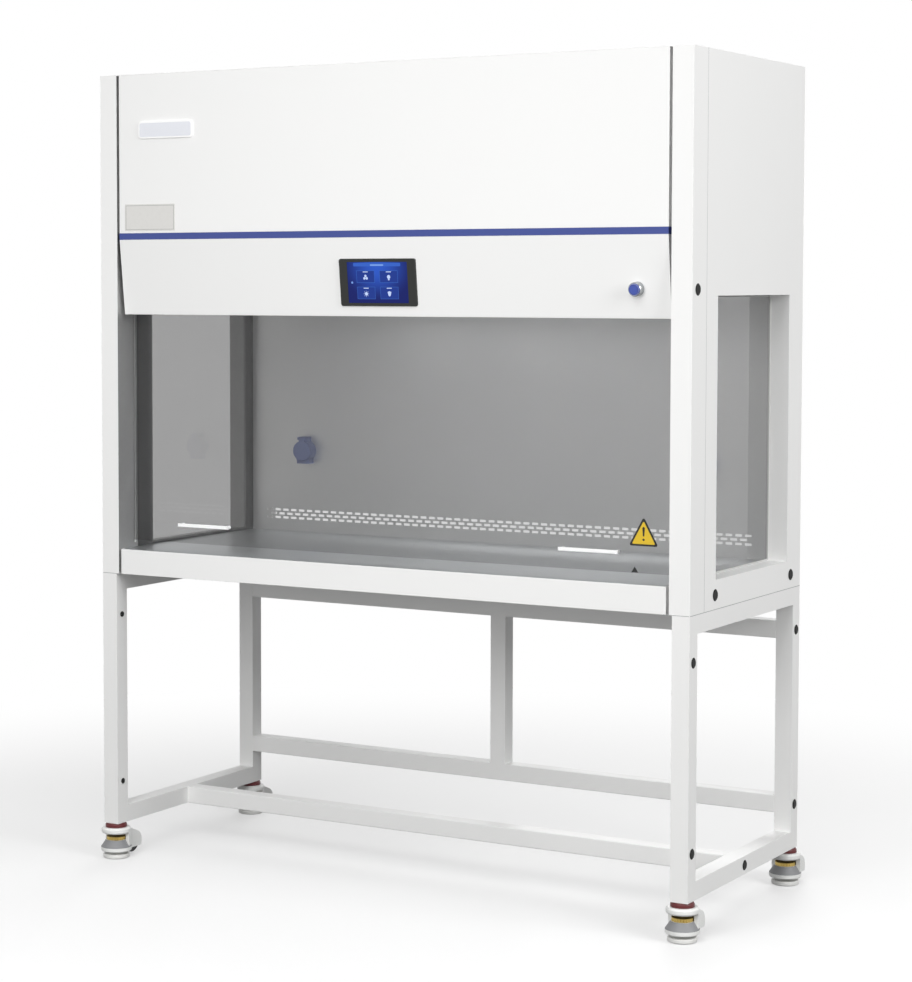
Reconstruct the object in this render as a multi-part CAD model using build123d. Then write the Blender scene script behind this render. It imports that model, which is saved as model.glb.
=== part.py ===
from build123d import *
from math import cos, pi, sin
import os

# Vertical laminar flow hood on a bolted tube stand with levelling castors.
# Working frame of the script: X to the right, Y from the front face to the back, Z up from the floor.
# The written files are shifted along Y so that the origin is under the middle of the whole outline.

os.makedirs("parts", exist_ok=True)

# ---------------------------------------------------------------- driving dimensions, mm
# overall
width = 1500.0
depth = 618.0
top_z = 1848.0
seam_z = 682.0            # cabinet stands on the stand here
sheet = 1.5               # sheet steel gauge of covers and pans
seat_gap = 0.3            # gap left where a loose piece meets its seat
play = 0.05               # radial clearance of every shaft in its bore

# stand
tube = 40.0
tube_wall = 2.0
leg_foot_z = 84.0         # underside of the legs, on top of the castors
rear_top_rail_drop = 98.5 # from the seam to the centre of the rear top rail
rear_low_rail_rise = 101.0 # from the legs' underside to the centre of the rear lower rail
frame_plug_r = 10.5       # black plastic plugs over the bolts of the stand
plug_r = 12.0             # the larger ones over the bolts of the cabinet
plug_sink = 9.0
plug_proud = 1.6
bolt_r = 4.2

# castors
stud_r = 6.0
stud_length = 28.0
cap_r = 25.5
cap_height = 10.0
flange_r = 35.0
flange_height = 13.7
collar_r = 36.3
collar_height = 9.5
collar_neck_r = 24.5
dish_height = 17.0
foot_r = 31.3
foot_height = 10.0
foot_travel = 6.5
screw_r = 8.0
thumbwheel_r = 23.0
thumbwheel_height = 7.5
knurls = 24
caster_wheel_r = 25.0
caster_wheel_width = 24.0
caster_trail = 53.0
axle_r = 4.0
axle_z = 28.0
fork_cheek = 4.5
fork_gap = 1.2

# cabinet shell
wall = 47.0               # side walls and front columns
column_depth = 73.5
seam_gap = 0.5
cover_gap = 7.0           # shadow gap between front covers and columns
cover_return = 20.0
worktop_rise = 59.0       # worktop above the seam
worktop_fold_r = 7.0
worktop_lip = 14.0
apron_drop = 0.5          # top of the apron below the worktop
window_front = 60.0       # from the back of the column to the window
window_rear = 27.5        # from the window to the back wall
window_low = 3.5          # window above the worktop
window_high = 1.5         # window below the ceiling of the chamber
glass = 5.0
back_wall_inset = 53.0
wall_bolt_rise = 30.5
column_bolt_y = 27.5
column_bolt_rise = 60.5   # above the foot of the control panel
rear_return_width = 39.0
rear_return = 18.0
ceiling_rise = 49.0       # chamber ceiling above the foot of the control panel
panel_height = 174.0
panel_drop = 382.0        # top of the control panel below the roof
panel_setback = 20.0      # how far the control panel leans back at its lower edge
trim_height = 15.0

# exhaust slots in the back wall
slot_length = 16.0
slot_height = 5.6
slot_pitch = 23.5
slot_row_pitch = 9.8
slot_rise = 42.7          # middle row above the worktop
slot_margin = 60.0        # from the last slot of the middle row to the side wall

# sash
sash_glass = 6.0
sash_y = 62.0             # front face of the sliding glass
sash_gap = 16.0           # below the closed glass
sash_overlap = 25.0       # glass behind the control panel
handle_stop = 12.0        # handle centre below the control panel when the sash is fully up
groove_depth = 11.0
groove_play = 0.3
handle_length = 140.0
handle_height = 8.0
handle_thick = 6.0
handle_inset = 208.0      # from the column to the middle of the handle
handle_rise = 43.0        # above the lower edge of the glass
handle_standoff = 11.0
standoff_r = 4.0
standoff_inset = 6.0
top_bar_height = 22.0
top_bar_thick = 2.5
weight_width = 23.0
weight_depth = 36.0
weight_extra = 120.0      # counterweight longer than its travel
weight_wall = 2.0         # metal between the sash groove and the weight channel
column_rear_wall = 3.5
pulley_r = 12.0
pulley_width = 8.0
pulley_pin_r = 3.0
pulley_drop = 23.0        # below the roof

# controls
touch_width = 195.0
touch_height = 105.0
touch_proud = 4.0
touch_depth = 22.0
touch_rise = 75.0         # above the foot of the control panel
button_inset = 81.0       # from the column
button_rise = 62.0
bezel_r = 15.0
bezel_height = 17.0
button_r = 12.5
button_height = 3.0
button_travel = 2.5
button_stem_r = 5.0
button_body = 28.0

# sockets on the back wall
socket_inset = 168.0      # from the side wall
socket_rise = 205.0       # above the worktop
socket_r = 26.0
socket_top = 35.0         # height of the hinge block above the middle of the socket
socket_foot = 32.0
socket_foot_width = 36.0
socket_proud = 21.0
socket_recess_r = 17.0
socket_box = 38.0
socket_hole_r = 20.0
lid_thick = 8.0
lid_r = 25.0
lid_pin_r = 1.5
lid_knuckle_r = 3.2

# air system above the work chamber
filter_height = 69.0
filter_frame = 18.0
filter_pleats = 46
diffuser_edge = 40.0
diffuser_front = 90.0     # blank strip of the diffuser over the lamps
plenum_height = 205.0
inlet_r = 98.0
impeller_r = 140.0
impeller_height = 84.0
impeller_blades = 9
motor_r = 46.0
motor_height = 58.0
motor_shaft_r = 6.0
bridge_width = 70.0
prefilter_width = 520.0
prefilter_depth = 300.0
prefilter_height = 24.0
prefilter_rim = 20.0
lamp_margin = 103.0       # from the lamp carrier to the side wall
lamp_tube_r = 8.0
lamp_spacing = 24.0
lamp_drop = 32.0          # tube below the ceiling of the chamber

# cable gland in the rear cover
gland_inset = 203.0       # from the side wall
gland_drop = 428.0        # below the roof
gland_r = 10.0
gland_bore_r = 4.5
gland_length = 31.5

# ---------------------------------------------------------------- derived places
half = width / 2
inner_x = half - wall
worktop_z = seam_z + worktop_rise
apron_top_z = worktop_z - apron_drop
panel_top_z = top_z - panel_drop
panel_low_z = panel_top_z - panel_height
ceiling_z = panel_low_z + ceiling_rise
back_wall_y = depth - back_wall_inset
rear_top_rail_z = seam_z - rear_top_rail_drop
rear_low_rail_z = leg_foot_z + rear_low_rail_rise
window_y0 = column_depth + window_front
window_y1 = back_wall_y - window_rear
window_z0 = worktop_z + window_low
window_z1 = ceiling_z - window_high
wall_bolt_z = seam_z + wall_bolt_rise
column_bolt_z = panel_low_z + column_bolt_rise
rear_return_x = inner_x - rear_return_width
slot_mid_z = worktop_z + slot_rise
slot_middle_count = 2 * int((inner_x - slot_margin - slot_length / 2) / slot_pitch) + 1
sash_low_z = worktop_z + sash_gap
sash_height = panel_low_z + sash_overlap - sash_low_z
handle_x = inner_x - handle_inset
handle_z = sash_low_z + handle_rise
sash_travel = panel_low_z - handle_stop - handle_z
weight_length = sash_travel + weight_extra
weight_channel_x = inner_x + groove_depth + weight_wall
pulley_z = top_z - pulley_drop
touch_z = panel_low_z + touch_rise
button_x = inner_x - button_inset
button_z = panel_low_z + button_rise
socket_x = inner_x - socket_inset
socket_z = worktop_z + socket_rise
plenum_back_y = depth - rear_return
lamp_length = 2 * (inner_x - lamp_margin)
gland_x = inner_x - gland_inset
gland_z = top_z - gland_drop
cover_x = inner_x - cover_gap
rear_leg_y = depth - tube
foot_rail_y = depth / 2 - tube / 2 - 2.5
housing_top_z = leg_foot_z - cap_height - seat_gap
slot_low_z = housing_top_z - flange_height
collar_z = foot_height + foot_travel + 0.5
collar_top_z = collar_z + collar_height
thumbwheel_z = collar_top_z + dish_height + 0.3
trim_low_z = panel_top_z
cover_low_z = panel_top_z + trim_height
filter_z = ceiling_z + 4.0
plenum_z = filter_z + filter_height
plenum_top_z = plenum_z + plenum_height
chamber_y0 = column_depth + seam_gap + 4.0
channel_y1 = column_depth - column_rear_wall
channel_y0 = channel_y1 - weight_depth - 2 * groove_play
cord_y = sash_y + sash_glass / 2
pulley_x = weight_channel_x + 4.0
lid_knuckle_x = 7.7
lid_axis_y = back_wall_y - socket_proud - seat_gap - lid_knuckle_r
lid_axis_z = socket_z + socket_top - 4.0
fan_y = (chamber_y0 + plenum_back_y) / 2
impeller_z = plenum_z + 12.0 + motor_height + 6.0
lamp_z = ceiling_z - lamp_drop
bezel_neck_r = 11.0


def block(x0, x1, y0, y1, z0, z1):
    """A box between two opposite corners."""
    middle = Pos((x0 + x1) / 2, (y0 + y1) / 2, (z0 + z1) / 2)
    return middle * Box(x1 - x0, y1 - y0, z1 - z0)


def rod(x, y, z0, z1, r):
    """An upright round bar."""
    return Pos(x, y, (z0 + z1) / 2) * Cylinder(r, z1 - z0)


def rod_x(x0, x1, y, z, r):
    """A round bar along X."""
    return Pos((x0 + x1) / 2, y, z) * Rot(0, 90, 0) * Cylinder(r, x1 - x0)


def rod_y(x, y0, y1, z, r):
    """A round bar along Y."""
    return Pos(x, (y0 + y1) / 2, z) * Rot(90, 0, 0) * Cylinder(r, y1 - y0)


def turned(points):
    """A solid of revolution about Z from its half section in X and Z."""
    outline = Polyline(*[(x, 0, z) for x, z in points], close=True)
    return revolve(make_face(outline), Axis.Z)


def mirrored(part):
    """The same piece on the left-hand side."""
    return mirror(part, about=Plane.YZ)


def group(pieces):
    """Several separate solids kept as one node."""
    return Compound([solid for piece in pieces for solid in piece.solids()])


def leg_centres():
    """The four castor stems."""
    x = half - tube / 2
    front = tube / 2
    rear = depth - tube / 2
    return [("front_left", -x, front), ("front_right", x, front),
            ("rear_left", -x, rear), ("rear_right", x, rear)]


def frame_bolts():
    """Plugged bolts of one side of the stand, as Y and Z."""
    spots = [(y, z) for y in (tube / 2, depth - tube / 2) for z in (rear_top_rail_z, rear_low_rail_z)]
    spots.append((foot_rail_y + tube / 2, leg_foot_z + tube / 2))
    return spots


def cabinet_bolts():
    """Plugged bolts of one side of the cabinet, as Y and Z: two low down and one in the column."""
    return [(window_y0 - 2.5, wall_bolt_z), (window_y1 + 22.5, wall_bolt_z), (column_bolt_y, column_bolt_z)]


# ---------------------------------------------------------------- stand
def side_frame():
    """Welded frame of one side: two legs, a top rail and a lower rail."""
    x0 = half - tube
    frame = block(x0, half, 0, depth, leg_foot_z, seam_z)
    frame -= block(x0 - 1, half + 1, tube, rear_leg_y, leg_foot_z + tube, seam_z - tube)
    for y, z in frame_bolts():
        frame -= rod_x(half - plug_sink, half + 1, y, z, frame_plug_r)
        frame -= rod_x(x0 - 1, half, y, z, bolt_r)
    for name, x, y in leg_centres():
        if x > 0:
            frame -= rod(x, y, leg_foot_z - 1, leg_foot_z + stud_length + 2, stud_r + play)
    return frame


def square_tube(length):
    """Hollow square tube along X, centred."""
    return Box(length, tube, tube) - Box(length + 2, tube - 2 * tube_wall, tube - 2 * tube_wall)


def rear_frame():
    """Two rear rails joined by a welded centre post."""
    length = width - 2 * tube
    y = depth - tube / 2
    frame = Pos(0, y, rear_top_rail_z) * square_tube(length)
    frame += Pos(0, y, rear_low_rail_z) * square_tube(length)
    low = rear_low_rail_z + tube / 2
    high = rear_top_rail_z - tube / 2
    frame += Pos(0, y, (low + high) / 2) * Rot(0, 90, 0) * square_tube(high - low)
    return frame


def foot_rail():
    """Low rail between the two side frames."""
    return Pos(0, foot_rail_y + tube / 2, leg_foot_z + tube / 2) * square_tube(width - 2 * tube)


def hole_plug(y, z, r):
    """One push-in plug on the right-hand side, with its domed head."""
    shank = rod_x(half - plug_sink + seat_gap, half + seat_gap, y, z, r - play)
    head = Pos(half + seat_gap, y, z) * Rot(0, 90, 0) * Cone(
        r + 0.8, r - 1.5, plug_proud, align=(Align.CENTER, Align.CENTER, Align.MIN))
    return shank + head


def hole_plugs():
    """Push-in plugs over the bolts, on both sides of the hood."""
    plugs = [hole_plug(y, z, frame_plug_r) for y, z in frame_bolts()]
    plugs += [hole_plug(y, z, plug_r) for y, z in cabinet_bolts()]
    return group(plugs + [mirrored(plug) for plug in plugs])


# ---------------------------------------------------------------- castors
def castor_stud():
    """Threaded stud with its round dust cap and the king pin that the housing turns on."""
    top = leg_foot_z - seat_gap
    cap = turned([(0, leg_foot_z - cap_height), (cap_r, leg_foot_z - cap_height),
                  (cap_r, top - 4), (cap_r - 2.5, top), (0, top)])
    stud = rod(0, 0, top, leg_foot_z + stud_length, stud_r)
    pin = rod(0, 0, slot_low_z + 0.5, leg_foot_z - cap_height, stud_r)
    return cap + stud + pin


def fork():
    """Rounded shroud that carries the wheel behind the stem, with its axle."""
    reach = caster_wheel_width / 2 + fork_gap + fork_cheek
    shroud_r = caster_wheel_r + 3
    side = Plane.YZ * make_hull(
        (Pos(caster_trail - 1, axle_z + 1.5) * Circle(shroud_r - 2)).edges()
        + (Pos(18, housing_top_z - 15) * Circle(12)).edges())
    shroud = extrude(side, reach, both=True)
    shroud -= block(-reach - 1, reach + 1, -collar_r, caster_trail + 2 * caster_wheel_r, -collar_z, collar_z)
    arch = rod_x(-caster_wheel_width / 2 - fork_gap, caster_wheel_width / 2 + fork_gap,
                 caster_trail, axle_z, caster_wheel_r + 1.2)
    return shroud, arch


def castor_housing():
    """Cast housing: top flange, rear web, dished collar and the wheel fork."""
    flange = turned([(0, slot_low_z), (flange_r - 2, slot_low_z), (flange_r, slot_low_z + 3),
                     (flange_r, housing_top_z - 4), (flange_r - 4, housing_top_z), (0, housing_top_z)])
    collar = turned([(0, collar_z), (collar_r - 1.5, collar_z), (collar_r, collar_z + 2),
                     (collar_r, collar_top_z), (collar_neck_r, collar_top_z + dish_height),
                     (0, collar_top_z + dish_height)])
    ring = Cylinder(flange_r - 0.5, slot_low_z - collar_top_z + 2) - Cylinder(
        thumbwheel_r + 2, slot_low_z - collar_top_z + 4)
    rear = Pos(0, flange_r + 4, 0) * Box(3 * flange_r, 2 * flange_r, 2 * flange_r)
    web = Pos(0, 0, (slot_low_z + collar_top_z) / 2) * (ring & rear)
    shroud, arch = fork()
    shroud -= rod(0, 0, 0, slot_low_z, thumbwheel_r + 2)
    shroud -= rod(0, 0, 0, collar_z, foot_r + 1.5)
    body = flange + collar + web + shroud
    body -= arch
    body -= rod(0, 0, slot_low_z - 1, housing_top_z + 1, stud_r + play)
    body -= rod(0, 0, 0, collar_top_z + dish_height + 1, screw_r + play)
    body += rod_x(-caster_wheel_width / 2 - fork_gap - 1, caster_wheel_width / 2 + fork_gap + 1,
                  caster_trail, axle_z, axle_r)
    return body


def castor_wheel():
    """Solid nylon wheel with a crowned tread and a raised hub."""
    w = caster_wheel_width / 2
    section = Polyline((0, axle_r + play), (w, axle_r + play), (w, axle_r + 5), (w - 2.5, axle_r + 7),
                       (w - 2.5, caster_wheel_r - 6), (w - 1, caster_wheel_r - 3),
                       (w - 4, caster_wheel_r), (0, caster_wheel_r), close=True)
    half_wheel = revolve(make_face(section), Axis.X)
    wheel = half_wheel + mirror(half_wheel, about=Plane.YZ)
    return Pos(0, caster_trail, axle_z) * wheel


def castor_foot():
    """Levelling foot: round pad, screw and the knurled thumbwheel that turns it."""
    pad = turned([(0, 0), (foot_r - 3, 0), (foot_r - 0.8, 1), (foot_r, 3), (foot_r, foot_height - 2),
                  (foot_r - 2, foot_height), (0, foot_height)])
    screw = rod(0, 0, foot_height, thumbwheel_z, screw_r)
    dial = rod(0, 0, thumbwheel_z, thumbwheel_z + thumbwheel_height, thumbwheel_r)
    grooves = [Pos(thumbwheel_r * cos(2 * pi * k / knurls), thumbwheel_r * sin(2 * pi * k / knurls),
                   thumbwheel_z + thumbwheel_height / 2)
               * Rot(0, 0, 360 * k / knurls + 45) * Box(1.6, 1.6, thumbwheel_height + 2)
               for k in range(knurls)]
    return pad + screw + (dial - grooves)


# ---------------------------------------------------------------- cabinet shell
def side_panel():
    """Double-skinned side wall with its window, its rear return and two bolt recesses."""
    panel = block(inner_x, half, column_depth + seam_gap, depth, seam_z, top_z)
    panel += block(rear_return_x, inner_x, depth - rear_return, depth, seam_z, top_z)
    panel -= block(inner_x - 1, half + 1, window_y0, window_y1, window_z0, window_z1)
    for y, z in cabinet_bolts()[:2]:
        panel -= rod_x(half - plug_sink, half + 1, y, z, plug_r)
    return panel


def front_column():
    """Front column: channel for the counterweight, groove for the sash and the pulley pocket."""
    column = block(inner_x, half, 0, column_depth, seam_z, top_z)
    column -= block(weight_channel_x, weight_channel_x + weight_width + 2 * groove_play,
                    channel_y0, channel_y1, seam_z + tube, top_z - 2 * sheet)
    column -= block(inner_x - 1, inner_x + groove_depth, sash_y - groove_play,
                    sash_y + sash_glass + groove_play, sash_low_z - 6, top_z - 2 * sheet)
    column -= block(pulley_x - pulley_r - 2, pulley_x + pulley_r + 2,
                    cord_y - pulley_width / 2 - 1, cord_y + pulley_width / 2 + 1,
                    pulley_z - pulley_r - 4, top_z - 2 * sheet)
    column += rod_y(pulley_x, channel_y0 - 1, channel_y1 + 1, pulley_z, pulley_pin_r)
    column -= rod_x(half - plug_sink, half + 1, column_bolt_y, column_bolt_z, plug_r)
    return column


def sash_pulley():
    """Grooved sheave for the sash cord, on a pin across the column."""
    w = pulley_width / 2
    bore = pulley_pin_r + play
    sheave = turned([(bore, -w), (pulley_r, -w), (pulley_r, 1 - w), (pulley_r - 2.5, 0),
                     (pulley_r, w - 1), (pulley_r, w), (bore, w)])
    return Pos(pulley_x, cord_y, pulley_z) * Rot(90, 0, 0) * sheave


def counterweight():
    """Steel bar that balances half of the sash; it hangs high while the sash is down."""
    x0 = weight_channel_x + groove_play
    y1 = channel_y1 - groove_play
    top = pulley_z - pulley_r - 8
    return block(x0, x0 + weight_width, y1 - weight_depth, y1, top - weight_length, top)


def side_glass():
    """Fixed pane behind the side window."""
    return block(inner_x - seat_gap - glass, inner_x - seat_gap, column_depth + seam_gap,
                 back_wall_y - seat_gap, worktop_z, ceiling_z)


def cover_section(returns):
    """Plan section of a front cover: face, two side returns and two fixing flanges."""
    back = returns - sheet
    outline = Polyline((-cover_x, 0), (cover_x, 0), (cover_x, back), (inner_x, back), (inner_x, returns),
                       (cover_x - sheet, returns), (cover_x - sheet, sheet), (sheet - cover_x, sheet),
                       (sheet - cover_x, returns), (-inner_x, returns), (-inner_x, back),
                       (-cover_x, back), close=True)
    return make_face(outline)


def front_cover(z0, z1):
    """A folded front cover between the two columns."""
    return Pos(0, 0, z0) * extrude(cover_section(cover_return), z1 - z0)


def panel_plane(x, z):
    """Local plane on the face of the leaning control panel, its normal pointing out."""
    y = panel_setback * (panel_top_z - z) / (panel_top_z - panel_low_z)
    return Plane(origin=(x, y, z), x_dir=(1, 0, 0),
                 z_dir=(0, -(panel_top_z - panel_low_z), -panel_setback))


def control_panel():
    """Folded panel that leans back at its foot, cut for the touch panel and the push button."""
    back = panel_setback + cover_return
    face = Polyline((0, panel_top_z), (panel_setback, panel_low_z), (back, panel_low_z),
                    (back, panel_low_z + sheet), (panel_setback + sheet, panel_low_z + sheet),
                    (sheet, panel_top_z - sheet), (back, panel_top_z - sheet), (back, panel_top_z),
                    close=True)
    cheek = Polyline((0, panel_top_z), (panel_setback, panel_low_z), (back, panel_low_z),
                     (back, panel_top_z), close=True)
    panel = extrude(Plane.YZ * make_face(face), cover_x, both=True)
    for side in (-1, 1):
        x = side * (cover_x - sheet / 2)
        panel += Pos(x, 0, 0) * extrude(Plane.YZ * make_face(cheek), sheet / 2, both=True)
        x0 = min(side * (cover_x - sheet), side * inner_x)
        x1 = max(side * (cover_x - sheet), side * inner_x)
        panel += block(x0, x1, back - sheet, back, panel_low_z, panel_top_z)
    panel -= panel_plane(0, touch_z) * Box(touch_width - 8, touch_height - 8, 12)
    panel -= panel_plane(button_x, button_z) * Cylinder(bezel_neck_r + play, 12)
    return panel


def apron():
    """Front sill below the worktop."""
    return front_cover(seam_z, apron_top_z)


def worktop():
    """Stainless worktop, folded down over a round nose at the front."""
    y0 = sheet + seam_gap
    r = worktop_fold_r
    low = worktop_z - worktop_lip
    outer = Polyline((y0, low), (y0, worktop_z - r))
    nose = CenterArc((y0 + r, worktop_z - r), r, 180, -90)
    top = Polyline((y0 + r, worktop_z), (back_wall_y, worktop_z), (back_wall_y, worktop_z - sheet),
                   (y0 + r, worktop_z - sheet))
    inner_nose = CenterArc((y0 + r, worktop_z - r), r - sheet, 90, 90)
    inner = Polyline((y0 + sheet, worktop_z - r), (y0 + sheet, low), (y0, low))
    section = make_face(outer + nose + top + inner_nose + inner)
    plate = extrude(Plane.YZ * section, inner_x - seam_gap, both=True)
    notch = cover_x - sheet - seam_gap
    for side in (-1, 1):
        x0 = min(side * notch, side * (inner_x + 1))
        x1 = max(side * notch, side * (inner_x + 1))
        plate -= block(x0, x1, -1, cover_return + seam_gap, low - 1, worktop_z + 1)
    return plate


def base_pan():
    """Folded tray that closes the cabinet from below, with a shelf behind the work chamber."""
    y0 = cover_return + 2
    under = worktop_z - sheet
    pan = block(-inner_x, inner_x, y0, depth, seam_z, under)
    pan -= block(sheet - inner_x, inner_x - sheet, y0 + sheet, depth - sheet, seam_z + sheet, under + 1)
    pan += block(sheet - inner_x, inner_x - sheet, back_wall_y, depth - sheet, under - sheet, under)
    for side in (-1, 1):
        x = side * (inner_x + rear_return_x) / 2
        width_x = (inner_x - rear_return_x) / 2 + 1
        pan -= block(x - width_x, x + width_x, depth - rear_return, depth + 1, seam_z - 1, under + 1)
    return pan


def worktop_bearers():
    """Three hat channels under the worktop."""
    under = worktop_z - sheet - seat_gap
    floor = seam_z + sheet + seat_gap
    bearers = []
    for x in (-inner_x * 0.6, 0, inner_x * 0.6):
        hat = block(x - 30, x + 30, cover_return + 12, back_wall_y - 8, floor, under)
        hat -= block(x - 28, x + 28, 0, depth, floor - 1, under - 2)
        bearers.append(hat)
    return group(bearers)


def back_wall():
    """Rear wall of the work chamber with three staggered rows of exhaust slots."""
    low = worktop_z - sheet
    back = back_wall_y + sheet
    panel = block(-inner_x, inner_x, back_wall_y, back, low, ceiling_z)
    panel += block(-inner_x, inner_x, back, back + 14, low, low + sheet)
    panel += block(-inner_x, inner_x, back, back + 14, ceiling_z - sheet, ceiling_z)
    slots = []
    for row in (-1, 0, 1):
        count = slot_middle_count + abs(row)
        for k in range(count):
            x = (k - (count - 1) / 2) * slot_pitch
            z = slot_mid_z + row * slot_row_pitch
            slots.append(Pos(x, back_wall_y + sheet / 2, z) * Box(slot_length, 4 * sheet, slot_height))
    for x in (-socket_x, socket_x):
        slots.append(rod_y(x, back_wall_y - 1, back + 1, socket_z, socket_hole_r + seat_gap))
    return panel - slots


def rear_cover():
    """Cover behind the air system, with a closing flange above the recess of the back wall."""
    z0 = ceiling_z - 30
    z1 = top_z - sheet
    cover = block(-rear_return_x, rear_return_x, depth - sheet, depth, z0, z1)
    cover += block(-rear_return_x, rear_return_x, back_wall_y + sheet, depth, z0, z0 + sheet)
    cover -= rod_y(gland_x, depth - 10, depth + 10, gland_z, gland_r + play)
    return cover


def power_inlet():
    """Cable gland in the rear cover."""
    nut = extrude(RegularPolygon(gland_r + 5, 6), 6)
    inner = sheet + 8
    body = Cylinder(gland_r, gland_length - inner, align=(Align.CENTER, Align.CENTER, Align.MIN))
    dome = Pos(0, 0, 6) * Cone(gland_r + 3, gland_r - 1, 12,
                               align=(Align.CENTER, Align.CENTER, Align.MIN))
    locknut = Pos(0, 0, -sheet - 5) * extrude(RegularPolygon(gland_r + 4, 6), 5)
    inside = Pos(0, 0, -inner) * Cylinder(gland_r, inner + 1, align=(Align.CENTER, Align.CENTER, Align.MIN))
    gland = nut + body + dome + locknut + inside
    gland -= Cylinder(gland_bore_r, 3 * gland_length)
    return Pos(gland_x, depth, gland_z) * Rot(-90, 0, 0) * gland


def top_cover():
    """Roof sheet with a sunk seat for the prefilter."""
    z0 = top_z - sheet
    w = prefilter_width / 2 + seat_gap
    d = prefilter_depth / 2 + seat_gap
    seat_z = top_z - prefilter_height
    cover = block(-inner_x, inner_x, 0, depth, z0, top_z)
    for side in (-1, 1):
        x = side * (inner_x + rear_return_x) / 2
        width_x = (inner_x - rear_return_x) / 2 + 1
        cover -= block(x - width_x, x + width_x, depth - rear_return, depth + 1, z0 - 1, top_z + 1)
    cover += Pos(0, depth / 2, 0) * block(-w - sheet, w + sheet, -d - sheet, d + sheet,
                                          seat_z - sheet, z0)
    cover -= Pos(0, depth / 2, 0) * block(-w, w, -d, d, seat_z, top_z + 1)
    cover -= Pos(0, depth / 2, 0) * block(8 - w, w - 8, 8 - d, d - 8, seat_z - 2 * sheet, top_z)
    return cover


# ---------------------------------------------------------------- sash
def sash_pane():
    """Sliding glass, its edges running in the grooves of the columns."""
    x = inner_x + groove_depth - 1
    return block(-x, x, sash_y, sash_y + sash_glass, sash_low_z, sash_low_z + sash_height)


def sash_top_bar():
    """Clamp rail along the upper edge of the glass."""
    x = inner_x - 2
    top = sash_low_z + sash_height
    bar = block(-x, x, sash_y - top_bar_thick, sash_y + sash_glass + top_bar_thick,
                top - top_bar_height, top + top_bar_thick)
    return bar - block(-x - 1, x + 1, sash_y, sash_y + sash_glass, top - top_bar_height - 1, top)


def sash_handle():
    """Bar handle on two standoffs."""
    y0 = sash_y - handle_standoff - handle_thick
    bar = Pos(handle_x, y0 + handle_thick / 2, handle_z) * Box(handle_length, handle_thick, handle_height)
    bar = fillet(bar.edges().filter_by(Axis.X), 1.5)
    reach = handle_length / 2 - standoff_inset
    for x in (handle_x - reach, handle_x + reach):
        bar += rod_y(x, y0 + 1, sash_y, handle_z, standoff_r)
    return bar


# ---------------------------------------------------------------- controls
def touch_panel():
    """Touch panel module: proud bezel and the body behind the cut-out."""
    bezel = extrude(RectangleRounded(touch_width, touch_height, 5), touch_proud)
    bezel = chamfer(bezel.faces().sort_by(Axis.Z)[-1].edges(), 1.2)
    window = Pos(0, 0, touch_proud - 0.6) * extrude(Rectangle(touch_width - 42, touch_height - 14), 1)
    body = Pos(0, 0, -touch_depth / 2) * Box(touch_width - 10, touch_height - 10, touch_depth)
    return panel_plane(0, touch_z) * (bezel - window + body)


def button_bezel():
    """Bright collar of the push button with the switch body behind the panel."""
    collar = turned([(0, 0), (bezel_r, 0), (bezel_r, bezel_height - 2), (bezel_r - 1.5, bezel_height),
                     (0, bezel_height)])
    neck = Pos(0, 0, -6) * Cylinder(bezel_neck_r, 12, align=(Align.CENTER, Align.CENTER, Align.MIN))
    case = Pos(0, 0, -6 - button_body / 2) * Box(button_body, button_body, button_body)
    bezel = collar + neck + case
    bezel -= Pos(0, 0, 3) * Cylinder(button_r + play, 20, align=(Align.CENTER, Align.CENTER, Align.MIN))
    bezel -= Pos(0, 0, -15) * Cylinder(button_stem_r + play, 40,
                                      align=(Align.CENTER, Align.CENTER, Align.MIN))
    return panel_plane(button_x, button_z) * bezel


def push_button():
    """Domed cap on its stem."""
    base = 3 + seat_gap + button_travel
    cap = turned([(0, base), (button_r, base), (button_r, bezel_height + button_height - 2.5),
                  (button_r - 1, bezel_height + button_height - 0.8),
                  (button_r - 3, bezel_height + button_height), (0, bezel_height + button_height)])
    stem = Pos(0, 0, -10) * Cylinder(button_stem_r, base + 10, align=(Align.CENTER, Align.CENTER, Align.MIN))
    return panel_plane(button_x, button_z) * (cap + stem)


# ---------------------------------------------------------------- sockets
def socket_base():
    """Splash-proof socket on the back wall with hinge ears and the box behind the wall."""
    face_y = back_wall_y - socket_proud
    ear = lid_knuckle_x + seat_gap
    base = rod_y(socket_x, face_y, back_wall_y, socket_z, socket_r)
    base += block(socket_x - ear - 4, socket_x + ear + 4, face_y, back_wall_y, socket_z, socket_z + socket_top)
    base += block(socket_x - socket_foot_width / 2, socket_x + socket_foot_width / 2, face_y, back_wall_y,
                  socket_z - socket_foot, socket_z)
    base += rod_y(socket_x, back_wall_y - 1, back_wall_y + socket_box, socket_z, socket_hole_r)
    base -= rod_y(socket_x, face_y - 1, face_y + 13, socket_z, socket_recess_r)
    for side in (-1, 1):
        base -= rod_y(socket_x + side * 9.5, face_y, face_y + 30, socket_z, 2.5)
        x = socket_x + side * (ear + 2)
        base += block(x - 2, x + 2, face_y - 7, face_y + 1, lid_axis_z - 3.4, lid_axis_z + 3.4)
    base += rod_x(socket_x - ear - 1, socket_x + ear + 1, lid_axis_y, lid_axis_z, lid_pin_r)
    return base


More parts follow.
